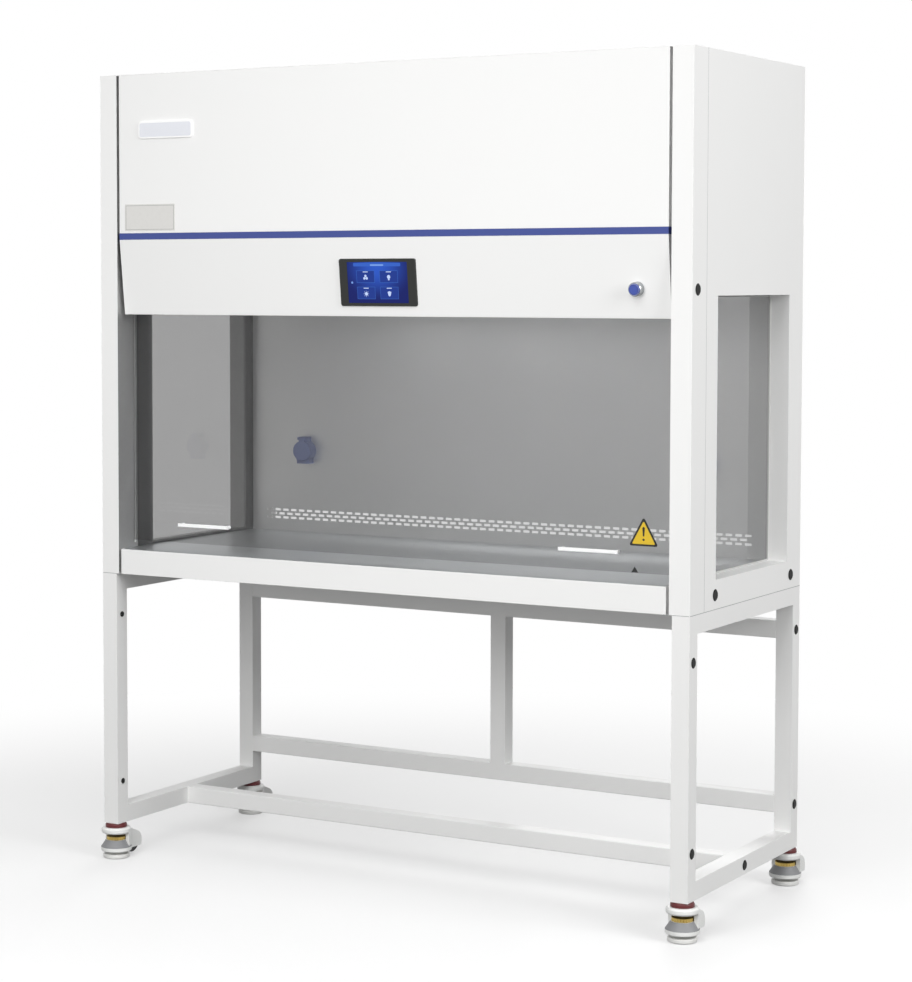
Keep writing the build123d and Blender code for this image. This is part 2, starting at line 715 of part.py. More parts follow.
def socket_lid():
    """Round flip lid that hangs from the pin of the socket."""
    y1 = lid_axis_y + lid_knuckle_r
    y0 = y1 - lid_thick
    disc = rod_y(socket_x, y0, y1, socket_z, lid_r)
    lid = fillet(disc.edges().sort_by(Axis.Y)[0], 2.5)
    lid += block(socket_x - lid_knuckle_x, socket_x + lid_knuckle_x, y0 + 1, y1 - 1, socket_z + 15, lid_axis_z)
    lid += rod_x(socket_x - lid_knuckle_x, socket_x + lid_knuckle_x, lid_axis_y, lid_axis_z,
                 lid_knuckle_r)
    lid += block(socket_x - 12, socket_x + 12, y0 - 2.5, y0 + 2, socket_z - lid_r + 3, socket_z - lid_r + 8)
    return lid - rod_x(0, width, lid_axis_y, lid_axis_z, lid_pin_r + play)


# ---------------------------------------------------------------- air system
def air_filter():
    """High-efficiency filter: a frame with a folded paper pack."""
    x = inner_x - seat_gap
    y0 = column_depth + seam_gap + 4
    y1 = back_wall_y - seat_gap
    z1 = filter_z + filter_height
    frame = block(-x, x, y0, y1, filter_z, z1)
    frame -= block(filter_frame - x, x - filter_frame, y0 + filter_frame, y1 - filter_frame,
                   filter_z - 1, z1 + 1)
    low = filter_z + 4
    high = z1 - 6
    span = x - filter_frame
    step = 2 * span / filter_pleats
    crest = [(k * step - span, low if k % 2 == 0 else high) for k in range(filter_pleats + 1)]
    lower = [(a, b) for a, b in crest]
    upper = [(a, b + 4) for a, b in reversed(crest)]
    pack = make_face(Plane.XZ * Polyline(*lower, *upper, close=True))
    pack = Pos(0, y1 - filter_frame, 0) * extrude(pack, y1 - y0 - 2 * filter_frame)
    return frame + pack


def diffuser():
    """Slotted screen below the filter."""
    x = inner_x - seat_gap - glass - seat_gap
    y0 = column_depth + seam_gap + 4
    y1 = back_wall_y - seat_gap
    screen = block(-x, x, y0, y1, ceiling_z, filter_z)
    screen -= block(sheet - x, x - sheet, y0 + sheet, y1 - sheet, ceiling_z + sheet, filter_z + 1)
    rows = 8
    columns = 22
    slots = []
    for i in range(rows):
        for k in range(columns):
            px = (k - (columns - 1) / 2) * (2 * x - 1.5 * diffuser_edge) / columns
            py = y1 - diffuser_edge - i * (y1 - y0 - diffuser_edge - diffuser_front) / rows
            slots.append(Pos(px, py, ceiling_z) * Box(46, 12, 8))
    return screen - slots


def fan_housing():
    """Pressure box over the filter, with the inlet ring and the bridge that carries the motor."""
    y0 = column_depth + seam_gap + 4
    box = block(-inner_x, inner_x, y0, plenum_back_y, plenum_z, plenum_top_z)
    box -= block(2 - inner_x, inner_x - 2, y0 + 2, plenum_back_y - 2, plenum_z - 1, plenum_top_z - 2)
    box += block(-bridge_width / 2, bridge_width / 2, y0 + 1, plenum_back_y - 1, plenum_z + 6, plenum_z + 12)
    box -= rod(0, fan_y, plenum_top_z - 5, plenum_top_z + 1, inlet_r - 4)
    ring = rod(0, fan_y, impeller_z + impeller_height + 2, plenum_top_z, inlet_r - 2)
    ring -= rod(0, fan_y, impeller_z, plenum_top_z + 1, inlet_r - 4)
    return box + ring


def fan_motor():
    """Motor that stands on the bridge inside the impeller."""
    z0 = plenum_z + 12
    return rod(0, fan_y, z0, z0 + motor_height, motor_r) + rod(
        0, fan_y, z0 + motor_height, impeller_z + 20, motor_shaft_r)


def impeller():
    """Backward-inclined centrifugal wheel with back plate, blades and a ring shroud."""
    plate = Cylinder(impeller_r, 3, align=(Align.CENTER, Align.CENTER, Align.MIN))
    hub = Cylinder(18, 20, align=(Align.CENTER, Align.CENTER, Align.MIN))
    ring = Cylinder(impeller_r, 3, align=(Align.CENTER, Align.CENTER, Align.MIN)) - Cylinder(
        inlet_r + 2, 10)
    wheel = plate + hub + Pos(0, 0, impeller_height - 3) * ring
    for k in range(impeller_blades):
        blade = Pos(inlet_r + 18, 0, impeller_height / 2) * Rot(0, 0, 35) * Box(
            62, 2.5, impeller_height - 2)
        wheel += Rot(0, 0, 360 * k / impeller_blades) * blade
    wheel &= Cylinder(impeller_r, impeller_height, align=(Align.CENTER, Align.CENTER, Align.MIN))
    wheel -= Cylinder(motor_shaft_r + play, 3 * impeller_height)
    return Pos(0, fan_y, impeller_z) * wheel


def prefilter():
    """Washable intake filter with a barred face, sunk in the roof."""
    z0 = top_z - prefilter_height
    panel = Pos(0, depth / 2, z0) * Box(prefilter_width, prefilter_depth, prefilter_height,
                                        align=(Align.CENTER, Align.CENTER, Align.MIN))
    bars = 12
    pitch = (prefilter_width - 2 * prefilter_rim) / bars
    slots = [Pos((k - (bars - 1) / 2) * pitch, depth / 2, top_z)
             * Box(pitch - 10, prefilter_depth - 2 * prefilter_rim, prefilter_height / 2)
             for k in range(bars)]
    return panel - slots


def lamp_fixture():
    """Carrier for two tubes under the front edge of the ceiling."""
    y0 = chamber_y0 + 6
    y1 = y0 + lamp_spacing + 22
    fixture = block(-lamp_length / 2, lamp_length / 2, y0, y1, ceiling_z - 14, ceiling_z)
    for side in (-1, 1):
        x = side * (lamp_length / 2 - 6)
        fixture += block(x - 6, x + 6, y0, y1, lamp_z - lamp_tube_r - 2, ceiling_z - 14)
    return fixture


def lamp_tube(y):
    """Tube held between the two end caps."""
    x = lamp_length / 2 - 12 - seat_gap
    return rod_x(-x, x, y, lamp_z, lamp_tube_r)


# ---------------------------------------------------------------- all pieces
nodes = {
    "side_frame_right": side_frame(),
    "side_frame_left": mirrored(side_frame()),
    "rear_frame": rear_frame(),
    "foot_rail": foot_rail(),
    "hole_plugs": hole_plugs(),
    "castor_studs": group([Pos(x, y, 0) * castor_stud() for name, x, y in leg_centres()]),
    "side_panel_right": side_panel(),
    "side_panel_left": mirrored(side_panel()),
    "front_column_right": front_column(),
    "front_column_left": mirrored(front_column()),
    "side_glass_right": side_glass(),
    "side_glass_left": mirrored(side_glass()),
    "sash_pulley_right": sash_pulley(),
    "sash_pulley_left": mirrored(sash_pulley()),
    "counterweight_right": counterweight(),
    "counterweight_left": mirrored(counterweight()),
    "base_pan": base_pan(),
    "worktop_bearers": worktop_bearers(),
    "apron": apron(),
    "worktop": worktop(),
    "back_wall": back_wall(),
    "rear_cover": rear_cover(),
    "power_inlet": power_inlet(),
    "top_cover": top_cover(),
    "upper_front_cover": front_cover(cover_low_z, top_z - sheet),
    "trim_strip": front_cover(trim_low_z, cover_low_z),
    "control_panel": control_panel(),
    "touch_panel": touch_panel(),
    "button_bezel": button_bezel(),
    "push_button": push_button(),
    "sash_glass": sash_pane(),
    "sash_top_bar": sash_top_bar(),
    "sash_handle_right": sash_handle(),
    "sash_handle_left": mirrored(sash_handle()),
    "socket_right": socket_base(),
    "socket_left": mirrored(socket_base()),
    "socket_lid_right": socket_lid(),
    "socket_lid_left": mirrored(socket_lid()),
    "air_filter": air_filter(),
    "diffuser": diffuser(),
    "fan_housing": fan_housing(),
    "fan_motor": fan_motor(),
    "impeller": impeller(),
    "prefilter": prefilter(),
    "lamp_fixture": lamp_fixture(),
    "lamp_tube": lamp_tube(chamber_y0 + 17),
    "uv_tube": lamp_tube(chamber_y0 + 17 + lamp_spacing),
}
for name, x, y in leg_centres():
    nodes["castor_housing_" + name] = Pos(x, y, 0) * castor_housing()
    nodes["castor_wheel_" + name] = Pos(x, y, 0) * castor_wheel()
    nodes["castor_foot_" + name] = Pos(x, y, 0) * castor_foot()

boxes = [solid.bounding_box() for solid in nodes.values()]
origin_y = (min(box.min.Y for box in boxes) + max(box.max.Y for box in boxes)) / 2
for name, solid in nodes.items():
    export_step(Pos(0, -origin_y, 0) * solid, "parts/" + name + ".step")
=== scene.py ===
import math
import bmesh
import bpy
from mathutils import Matrix, Vector


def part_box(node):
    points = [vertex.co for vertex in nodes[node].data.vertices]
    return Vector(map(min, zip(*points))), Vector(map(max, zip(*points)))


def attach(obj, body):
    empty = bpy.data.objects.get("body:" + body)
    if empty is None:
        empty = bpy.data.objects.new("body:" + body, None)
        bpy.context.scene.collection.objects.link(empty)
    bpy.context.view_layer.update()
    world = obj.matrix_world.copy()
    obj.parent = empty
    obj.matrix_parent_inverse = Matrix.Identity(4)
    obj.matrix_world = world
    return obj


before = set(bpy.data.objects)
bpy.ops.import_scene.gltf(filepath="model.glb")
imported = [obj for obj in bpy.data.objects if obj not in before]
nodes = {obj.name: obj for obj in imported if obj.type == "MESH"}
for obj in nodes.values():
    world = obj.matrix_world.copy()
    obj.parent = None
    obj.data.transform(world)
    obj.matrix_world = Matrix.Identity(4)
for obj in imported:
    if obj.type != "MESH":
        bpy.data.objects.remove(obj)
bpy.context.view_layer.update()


# ---------------------------------------------------------------- colours and shader helpers
def srgb(code):
    """Linear colour of an sRGB hex code."""
    parts = [int(code[i:i + 2], 16) / 255 for i in (0, 2, 4)]
    return [p / 12.92 if p <= 0.04045 else ((p + 0.055) / 1.055) ** 2.4 for p in parts] + [1.0]


def add(tree, kind, links=None, **values):
    """Adds a shader node; links maps input names to sockets, values set its properties."""
    node = tree.nodes.new(kind)
    for name, value in values.items():
        setattr(node, name, value)
    for name, source in (links or {}).items():
        if hasattr(source, "is_output"):
            tree.links.new(source, node.inputs[name])
        else:
            node.inputs[name].default_value = source
    return node


def new_material(name):
    """An empty material with its principled shader and object coordinates."""
    made = bpy.data.materials.new(name)
    made.use_nodes = True
    tree = made.node_tree
    tree.nodes.clear()
    shader = add(tree, "ShaderNodeBsdfPrincipled")
    out = add(tree, "ShaderNodeOutputMaterial")
    tree.links.new(shader.outputs["BSDF"], out.inputs["Surface"])
    place = add(tree, "ShaderNodeTexCoord").outputs["Object"]
    return made, tree, shader, place


def seen_directly(tree):
    """1 for what the camera sees, straight on, in a reflection or through glass."""
    path = add(tree, "ShaderNodeLightPath")
    seen = add(tree, "ShaderNodeMath", {0: path.outputs["Is Camera Ray"],
                                        1: path.outputs["Is Glossy Ray"]}, operation="MAXIMUM")
    seen = add(tree, "ShaderNodeMath", {0: seen.outputs["Value"],
                                        1: path.outputs["Is Transmission Ray"]}, operation="MAXIMUM")
    return seen.outputs["Value"]


def ramp(tree, source, low_value, high_value, from_low=0.35, from_high=0.65):
    """Maps a noise value to a range."""
    made = add(tree, "ShaderNodeMapRange", {"Value": source, "From Min": from_low, "From Max": from_high,
                                            "To Min": low_value, "To Max": high_value})
    return made.outputs["Result"]


def powder_coat(name, code, rough=0.38, texture=0.06):
    """Powder coat on sheet steel: a fine orange peel and a slightly uneven gloss."""
    made, tree, shader, place = new_material(name)
    shader.inputs["Base Color"].default_value = srgb(code)
    peel = add(tree, "ShaderNodeTexNoise", {"Vector": place, "Scale": 900.0, "Detail": 3.0})
    haze = add(tree, "ShaderNodeTexNoise", {"Vector": place, "Scale": 6.0, "Detail": 4.0})
    tree.links.new(ramp(tree, haze.outputs["Fac"], rough - 0.05, rough + 0.06),
                   shader.inputs["Roughness"])
    bump = add(tree, "ShaderNodeBump", {"Height": peel.outputs["Fac"], "Strength": texture,
                                        "Distance": 0.0002})
    tree.links.new(bump.outputs["Normal"], shader.inputs["Normal"])
    return made


def brushed(name, code, stretch, rough=0.32):
    """Brushed stainless steel: fine lines along one axis and slow changes of gloss."""
    made, tree, shader, place = new_material(name)
    shader.inputs["Base Color"].default_value = srgb(code)
    shader.inputs["Metallic"].default_value = 1.0
    turned = add(tree, "ShaderNodeMapping", {"Vector": place, "Scale": stretch})
    lines = add(tree, "ShaderNodeTexNoise", {"Vector": turned.outputs["Vector"], "Scale": 1.0,
                                             "Detail": 5.0})
    haze = add(tree, "ShaderNodeTexNoise", {"Vector": place, "Scale": 5.0, "Detail": 5.0})
    mixed = add(tree, "ShaderNodeMath", {0: lines.outputs["Fac"], 1: haze.outputs["Fac"]},
                operation="ADD")
    tree.links.new(ramp(tree, mixed.outputs["Value"], rough - 0.08, rough + 0.10, 0.7, 1.3),
                   shader.inputs["Roughness"])
    bump = add(tree, "ShaderNodeBump", {"Height": lines.outputs["Fac"], "Strength": 0.12,
                                        "Distance": 0.0002})
    tree.links.new(bump.outputs["Normal"], shader.inputs["Normal"])
    return made


def moulded(name, code, rough=0.42, gloss=0.5):
    """Moulded plastic with a fine grain."""
    made, tree, shader, place = new_material(name)
    shader.inputs["Base Color"].default_value = srgb(code)
    shader.inputs["Specular IOR Level"].default_value = gloss
    grain = add(tree, "ShaderNodeTexNoise", {"Vector": place, "Scale": 1500.0, "Detail": 2.0})
    tree.links.new(ramp(tree, grain.outputs["Fac"], rough - 0.05, rough + 0.07),
                   shader.inputs["Roughness"])
    bump = add(tree, "ShaderNodeBump", {"Height": grain.outputs["Fac"], "Strength": 0.05,
                                        "Distance": 0.0002})
    tree.links.new(bump.outputs["Normal"], shader.inputs["Normal"])
    return made


def metal(name, code, rough=0.25, scratches=0.06):
    """Bare or plated metal with faint wear in its gloss."""
    made, tree, shader, place = new_material(name)
    shader.inputs["Base Color"].default_value = srgb(code)
    shader.inputs["Metallic"].default_value = 1.0
    wear = add(tree, "ShaderNodeTexNoise", {"Vector": place, "Scale": 120.0, "Detail": 6.0})
    tree.links.new(ramp(tree, wear.outputs["Fac"], rough - scratches, rough + scratches),
                   shader.inputs["Roughness"])
    return made


def float_glass(name, code):
    """Tinted pane: light passes with the tint, and the face it enters by reflects by Fresnel."""
    made, tree, shader, _ = new_material(name)
    tint = add(tree, "ShaderNodeBsdfTransparent", {"Color": srgb(code)})
    edge = add(tree, "ShaderNodeFresnel", {"IOR": 1.45})
    side = add(tree, "ShaderNodeNewGeometry")
    entering = add(tree, "ShaderNodeMath", {0: 1.0, 1: side.outputs["Backfacing"]}, operation="SUBTRACT")
    share = add(tree, "ShaderNodeMath", {0: edge.outputs["Fac"], 1: entering.outputs["Value"]},
                operation="MULTIPLY")
    gloss = add(tree, "ShaderNodeBsdfGlossy", {"Color": srgb("ffffff"), "Roughness": 0.02})
    both = add(tree, "ShaderNodeMixShader", {0: share.outputs["Value"], 1: tint.outputs["BSDF"],
                                             2: gloss.outputs["BSDF"]})
    out = next(n for n in tree.nodes if n.type == "OUTPUT_MATERIAL")
    tree.nodes.remove(shader)
    tree.links.new(both.outputs["Shader"], out.inputs["Surface"])
    return made


def glowing(name, code, strength):
    """Lit lamp glass or a lit part of the display."""
    made, _, shader, _ = new_material(name)
    shader.inputs["Base Color"].default_value = srgb("050608")
    shader.inputs["Roughness"].default_value = 0.2
    shader.inputs["Specular IOR Level"].default_value = 0.15
    shader.inputs["Emission Color"].default_value = srgb(code)
    shader.inputs["Emission Strength"].default_value = strength
    return made


# finishes of the real thing
coat = powder_coat("white powder coat on the cabinet", "f2f2f1")
stand_coat = powder_coat("white powder coat on the tube stand", "f0f0ef", 0.42)
blue_coat = powder_coat("blue enamel strip", "3d4b8c", 0.42)
# the grey of the base pan is painted shade beneath the cabinet
pan_shade_coat = powder_coat("grey under the pan as painted shade", "9a9a9a", 0.5)
# stainless inner liner; its darker grey than the other steel is painted shade in the opening
liner = brushed("stainless side liner darkened as painted shade", "b4b4b4", (40.0, 60.0, 700.0), 0.45)
steel_wall = brushed("stainless back wall", "e8e8e8", (900.0, 60.0, 12.0), 0.5)
steel_top = brushed("stainless worktop", "ced1d3", (10.0, 700.0, 60.0), 0.36)
steel_bar = brushed("stainless clamp rail", "c4c4c4", (8.0, 300.0, 300.0), 0.3)
galvanised = metal("galvanised sheet", "9fa3a6", 0.42)
black = moulded("black moulded plug", "060606", 0.6, gloss=0.25)
dark = moulded("dark moulded bezel", "242523", 0.4, gloss=0.35)
socket_plastic = moulded("slate blue socket moulding", "7c85aa", 0.36)
red = moulded("dark red dust cap", "561519", 0.45)
nylon = moulded("black nylon wheel", "1c1c1e", 0.45)
white_plastic = moulded("white glossy moulding", "fefefe", 0.28)
cast = moulded("off-white castor enamel", "ecedeb", 0.3)
brass = metal("yellow zinc thumbwheel", "b39c5c", 0.36)
chrome = metal("chromed collar", "a8abae", 0.22)
blue_cap = moulded("blue button cap", "3f53a6", 0.3)
paper = moulded("pleated filter paper", "e4e4de", 0.7)
lamp = moulded("frosted lamp glass", "f4f4f4", 0.25)
zinc = metal("bright zinc screw head", "b9bbbd", 0.3)
lit_lamp = glowing("lit lamp tube", "ffffff", 12.5)
bare_steel = metal("bare steel weight", "6c6e70", 0.45)
sash_tint = float_glass("grey tinted sash glass", "e6e6e6")
side_tint = float_glass("grey tinted side glass", "dcdcdc")

looks = {
    "side_frame": stand_coat, "rear_frame": stand_coat, "foot_rail": stand_coat, "hole_plugs": black,
    "castor_studs": red, "castor_housing": cast, "castor_wheel": nylon, "castor_foot": cast,
    "side_panel": coat, "front_column": coat, "side_glass": side_tint, "sash_pulley": dark,
    "counterweight": bare_steel, "base_pan": pan_shade_coat, "worktop_bearers": galvanised, "apron": coat,
    "worktop": steel_top, "back_wall": steel_wall, "rear_cover": coat, "power_inlet": dark,
    "top_cover": coat, "upper_front_cover": coat, "trim_strip": blue_coat, "control_panel": coat,
    "touch_panel": dark, "button_bezel": chrome, "push_button": blue_cap, "sash_glass": sash_tint,
    "sash_top_bar": steel_bar, "sash_handle": white_plastic, "socket_lid": socket_plastic,
    "socket": socket_plastic, "air_filter": paper, "diffuser": coat, "fan_housing": galvanised,
    "fan_motor": bare_steel, "impeller": galvanised, "prefilter": paper, "lamp_fixture": coat,
    "lamp_tube": lit_lamp, "uv_tube": lamp,
}


def paint(obj, finish):
    """Gives the whole piece one finish."""
    obj.data.materials.clear()
    obj.data.materials.append(finish)


for name, obj in nodes.items():
    key = max((k for k in looks if name.startswith(k)), key=len)
    paint(obj, looks[key])


def soften(obj, width, segments=3):
    """Rounds the outer edges of a sheet or tube by a small radius."""
    weld = obj.modifiers.new("weld", "WELD")
    weld.merge_threshold = 0.00002
    bevel = obj.modifiers.new("soft_edges", "BEVEL")
    bevel.width = width * 0.001
    bevel.segments = segments
    bevel.limit_method = "ANGLE"
    bevel.angle_limit = math.radians(50)
    bevel.use_clamp_overlap = True
    even = obj.modifiers.new("even_shading", "WEIGHTED_NORMAL")
    even.keep_sharp = True


edge_radii = {"side_frame": 2.4, "rear_frame": 2.4, "foot_rail": 2.4, "side_panel": 1.2,
              "front_column": 1.4, "apron": 0.6, "upper_front_cover": 0.6, "control_panel": 0.6,
              "top_cover": 0.5, "rear_cover": 0.5, "sash_handle": 0.8}
for name, obj in nodes.items():
    for key, radius in edge_radii.items():
        if name.startswith(key):
            soften(obj, radius)


# ---------------------------------------------------------------- small pieces
mid_y = 329.85            # the origin lies this far behind the front face
panel_low = 1292.0
panel_top = 1466.0
panel_setback = 20.0      # how far the control panel leans back at its foot
lean = math.atan2(panel_setback, panel_top - panel_low)
touch_z = 1367.0
button_x = 622.0
button_z = 1354.0
button_face = 20.0        # face of the push button above the panel
half_width = 750.0
cabinet_depth = 618.0
cabinet_top = 1848.0
seam_y = 73.75
seam_z = 682.0
leg_inner_x = 710.0
rear_low = 1321.0
rear_high = 1836.0
rear_side = 654.0
pane_x = 702.7
window_length = 404.0
window_height = 595.0
window_mid_y = 335.5
window_mid_z = 1042.0
leg_bolt_y = 20.0
leg_bolt_heights = (583.5, 185.0)
sash_front = 62.0
screw_pitch = 114.0
side_pitch = 103.0
# upward faces of the castor housing between these heights get a grey of painted shade
dish_foot = 26.6          # the castor's dish lies between these heights
dish_top = 43.4
lined_to = 704.5          # inner faces nearer the middle than this are stainless, in a darker grey that is painted shade


def facing_front(x, y, z, tilt=0.0):
    """Frame on a front face: first axis to the right, second up along the face, third out of it."""
    c, s = math.cos(tilt), math.sin(tilt)
    turn = Matrix(((1, 0, 0), (0, -s, -c), (0, c, -s))).to_4x4()
    return Matrix.Translation(Vector((x, y - mid_y, z)) * 0.001) @ turn @ Matrix.Scale(0.001, 4)


def on_panel(x, z):
    """Frame on the face of the leaning control panel."""
    return facing_front(x, panel_setback * (panel_top - z) / (panel_top - panel_low), z, lean)


def rounded(width, height, radius, cx=0.0, cy=0.0, steps=5):
    """Outline of a rounded rectangle."""
    spots = []
    for sx, sy, start in ((1, 1, 0), (-1, 1, 90), (-1, -1, 180), (1, -1, 270)):
        for k in range(steps + 1):
            a = math.radians(start + 90 * k / steps)
            spots.append((cx + sx * (width / 2 - radius) + radius * math.cos(a),
                          cy + sy * (height / 2 - radius) + radius * math.sin(a)))
    return spots


def circle(radius, cx=0.0, cy=0.0, steps=28):
    """Outline of a disc."""
    turns = [2 * math.pi * k / steps for k in range(steps)]
    return [(cx + radius * math.cos(a), cy + radius * math.sin(a)) for a in turns]


def rounded_corners(corners, radius, steps=5):
    """Outline with every corner of a convex figure rounded."""
    spots = []
    count = len(corners)
    for k in range(count):
        here = Vector(corners[k])
        before = (Vector(corners[k - 1]) - here).normalized()
        after = (Vector(corners[(k + 1) % count]) - here).normalized()
        half = before.angle(after) / 2
        centre = here + (before + after).normalized() * (radius / math.sin(half))
        start = here + before * (radius / math.tan(half)) - centre
        end = here + after * (radius / math.tan(half)) - centre
        sweep = start.angle_signed(end)
        for i in range(steps + 1):
            turn = Matrix.Rotation(-sweep * i / steps, 2)
            spots.append(tuple(centre + turn @ start))
    return spots


def plates(name, outlines, low_w, high_w, place, body, finish, edge=0.0):
    """Flat pieces with the given outlines, from one height to another over a face."""
    bm = bmesh.new()
    for outline in outlines:
        ring = [bm.verts.new((u, v, low_w)) for u, v in outline]
        face = bm.faces.new(ring)
        grown = bmesh.ops.extrude_face_region(bm, geom=[face])["geom"]
        top = [v for v in grown if isinstance(v, bmesh.types.BMVert)]
        bmesh.ops.translate(bm, verts=top, vec=(0, 0, high_w - low_w))
        if edge:
            rim = [e for e in bm.edges if all(v in top for v in e.verts)]
            bmesh.ops.bevel(bm, geom=rim, offset=edge, segments=2, affect="EDGES", profile=0.5)
    bmesh.ops.recalc_face_normals(bm, faces=bm.faces)
    bmesh.ops.transform(bm, matrix=place, verts=bm.verts)
    mesh = bpy.data.meshes.new(name)
    bm.to_mesh(mesh)
    bm.free()
    obj = bpy.data.objects.new(name, mesh)
    bpy.context.scene.collection.objects.link(obj)
    paint(obj, finish)
    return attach(obj, body)


def frame_outlines(width, height, line, cx, cy):
    """Four thin bars that frame a rectangle."""
    w, h = width / 2, height / 2
    return [[(cx - w, cy + h - line), (cx + w, cy + h - line), (cx + w, cy + h), (cx - w, cy + h)],
            [(cx - w, cy - h), (cx + w, cy - h), (cx + w, cy - h + line), (cx - w, cy - h + line)],
            [(cx - w, cy - h + line), (cx - w + line, cy - h + line), (cx - w + line, cy + h - line),
             (cx - w, cy + h - line)],
            [(cx + w - line, cy - h + line), (cx + w, cy - h + line), (cx + w, cy + h - line),
             (cx + w - line, cy + h - line)]]


def display_glow():
    """Lit display ground: blue that is brightest at its upper middle."""
    made, tree, shader, place = new_material("blue display ground")
    shader.inputs["Base Color"].default_value = srgb("030305")
    shader.inputs["Roughness"].default_value = 0.15
    shader.inputs["Specular IOR Level"].default_value = 0.15
    brightest_z = 1.398
    across, upwards = 10.0, 12.5
    centred = add(tree, "ShaderNodeMapping", {"Vector": place, "Scale": (across, 0.0, upwards),
                                              "Location": (0.0, 0.0, -brightest_z * upwards)})
    reach = add(tree, "ShaderNodeVectorMath", {0: centred.outputs["Vector"]}, operation="LENGTH")
    share = add(tree, "ShaderNodeMapRange", {"Value": reach.outputs["Value"], "From Min": 0.0,
                                             "From Max": 0.95}, interpolation_type="SMOOTHSTEP")
    tone = add(tree, "ShaderNodeMix", {"Factor": share.outputs["Result"], 6: srgb("2a58c6"),
                                       7: srgb("0f1c66")}, data_type="RGBA")
    tree.links.new(tone.outputs[2], shader.inputs["Emission Color"])
    shader.inputs["Emission Strength"].default_value = 1.0
    return made


def build_display():
    """Home page of the touch panel: four framed keys with plain marks."""
    place = on_panel(0.0, touch_z)
    plates("display_ground", [rounded(152.4, 90.4, 0.6)], 3.4, 3.75, place, "hood", display_glow())
    key_edge = glowing("key frame light", "3f74d6", 0.8)
    key_face = glowing("key face", "1f3f9e", 0.8)
    key_mark = glowing("key picture", "c6d8ff", 1.0)
    keys = [(-30.0, 13.0), (29.0, 13.0), (-30.0, -23.0), (29.0, -23.0)]
    plates("display_keys", [rounded(46.0, 26.0, 1.0, x, y) for x, y in keys], 3.7, 3.8, place, "hood",
           key_face)
    frames = [bar for x, y in keys for bar in frame_outlines(46.0, 27.0, 0.7, x, y)]
    plates("display_key_frames", frames, 3.8, 3.84, place, "hood", key_edge)
    marks = [rounded(13.0, 1.8, 0.8, x, y + 10.5, 3) for x, y in keys]
    x, y = keys[0]
    for k in range(3):
        a = math.radians(90 + 120 * k)
        marks.append(circle(2.9, x + 3.5 * math.cos(a), y - 2.0 + 3.5 * math.sin(a), 14))
    x, y = keys[1]
    marks.append(circle(4.2, x, y - 0.6, 18))
    marks.append(rounded(4.0, 3.0, 0.6, x, y - 6.4, 2))
    x, y = keys[2]
    marks.append(circle(3.9, x, y - 2.0, 18))
    for k in range(8):
        a = 2 * math.pi * k / 8
        marks.append(circle(0.8, x + 6.0 * math.cos(a), y - 2.0 + 6.0 * math.sin(a), 8))
    x, y = keys[3]
    marks.append([(x - 4.8, y + 2.2), (x - 2.8, y - 5.6), (x, y - 7.8), (x + 2.8, y - 5.6),
                  (x + 4.8, y + 2.2), (x, y + 4.0)])
    plates("display_marks", marks, 3.8, 3.84, place, "hood", key_mark)
    title = [rounded(34.0, 3.4, 1.6, 0.0, 38.5, 3), rounded(5.0, 5.0, 2.4, -65.0, 0.0, 3)]
    plates("display_title", title, 3.76, 3.8, place, "hood",
           glowing("title bar light", "7fa8f2", 0.9))
    plates("display_title_band", [rounded(120.0, 7.5, 2.0, 0.0, 39.5, 3)], 3.7, 3.765, place, "hood",
           glowing("title band light", "3767cf", 0.9))


def build_button_face():
    """Rim and ring on the face of the push button."""
    place = on_panel(button_x, button_z) @ Matrix.Translation((0, 0, button_face))
    plates("button_rim", [circle(11.7, 0, 0, 40)], 0.0, 0.05, place, "push_button",
           moulded("pale rim of the button", "8f9ac4", 0.3))
    plates("button_ring", [circle(10.8, 0, 0, 40)], 0.05, 0.1, place, "push_button",
           moulded("dark blue ring of the button", "24327a", 0.35))
    plates("button_field", [circle(9.3, 0, 0, 40)], 0.1, 0.15, place, "push_button", blue_cap)


def build_plates():
    """Bare badge place and bare rating plate on the upper cover."""
    badge = facing_front(-562.5, 0.0, 1718.5)
    plates("badge_plate", [rounded(152.0, 40.0, 8.0)], 0.0, 3.2, badge, "hood", white_plastic, 0.9)
    plates("badge_field", [rounded(144.0, 32.0, 5.0)], 3.2, 3.4, badge, "hood",
           moulded("pale grey badge field", "e6e8ee", 0.3))
    rating = facing_front(-609.0, 0.0, 1517.0)
    plates("rating_plate", [rounded(142.0, 62.0, 2.0)], 0.0, 0.5, rating, "hood",
           metal("satin rating plate", "dcdbd8", 0.45))
    plates("rating_plate_border", frame_outlines(136.0, 56.0, 0.8, 0.0, 0.0), 0.5, 0.56, rating, "hood",
           moulded("grey printed line", "8d8d8c", 0.5))


def build_warning_sign():
    """Yellow warning triangle and the small height mark on the sliding glass."""
    place = facing_front(617.0, sash_front, 845.0)
    black_print = moulded("black print", "141414", 0.45)
    outer = rounded_corners([(-34.0, -30.5), (34.0, -30.5), (0.0, 31.5)], 3.5)
    inner = rounded_corners([(-27.0, -26.5), (27.0, -26.5), (0.0, 22.5)], 2.0)
    plates("warning_triangle", [outer], 0.0, 0.2, place, "sash", black_print)
    plates("warning_triangle_field", [inner], 0.2, 0.26, place, "sash",
           moulded("yellow print", "e6c233", 0.45))
    bar = [(-1.6, -10.0), (1.6, -10.0), (3.0, 8.0), (0.0, 10.5), (-3.0, 8.0)]
    plates("warning_triangle_mark", [bar, circle(2.6, 0.0, -17.0, 16)], 0.26, 0.32, place, "sash",
           black_print)
    mark = facing_front(597.0, sash_front, 764.0)
    plates("height_mark", [[(-8.0, -6.0), (8.0, -6.0), (0.0, 6.5)]], 0.0, 0.2, mark, "sash", black_print)


def facing_side(x, y, z, sign):
    """Frame on a side face (sign 1 right, -1 left): first axis to the rear or front, second up."""
    turn = Matrix(((0, 0, sign), (sign, 0, 0), (0, 1, 0))).to_4x4()
    return Matrix.Translation(Vector((x, y - mid_y, z)) * 0.001) @ turn @ Matrix.Scale(0.001, 4)


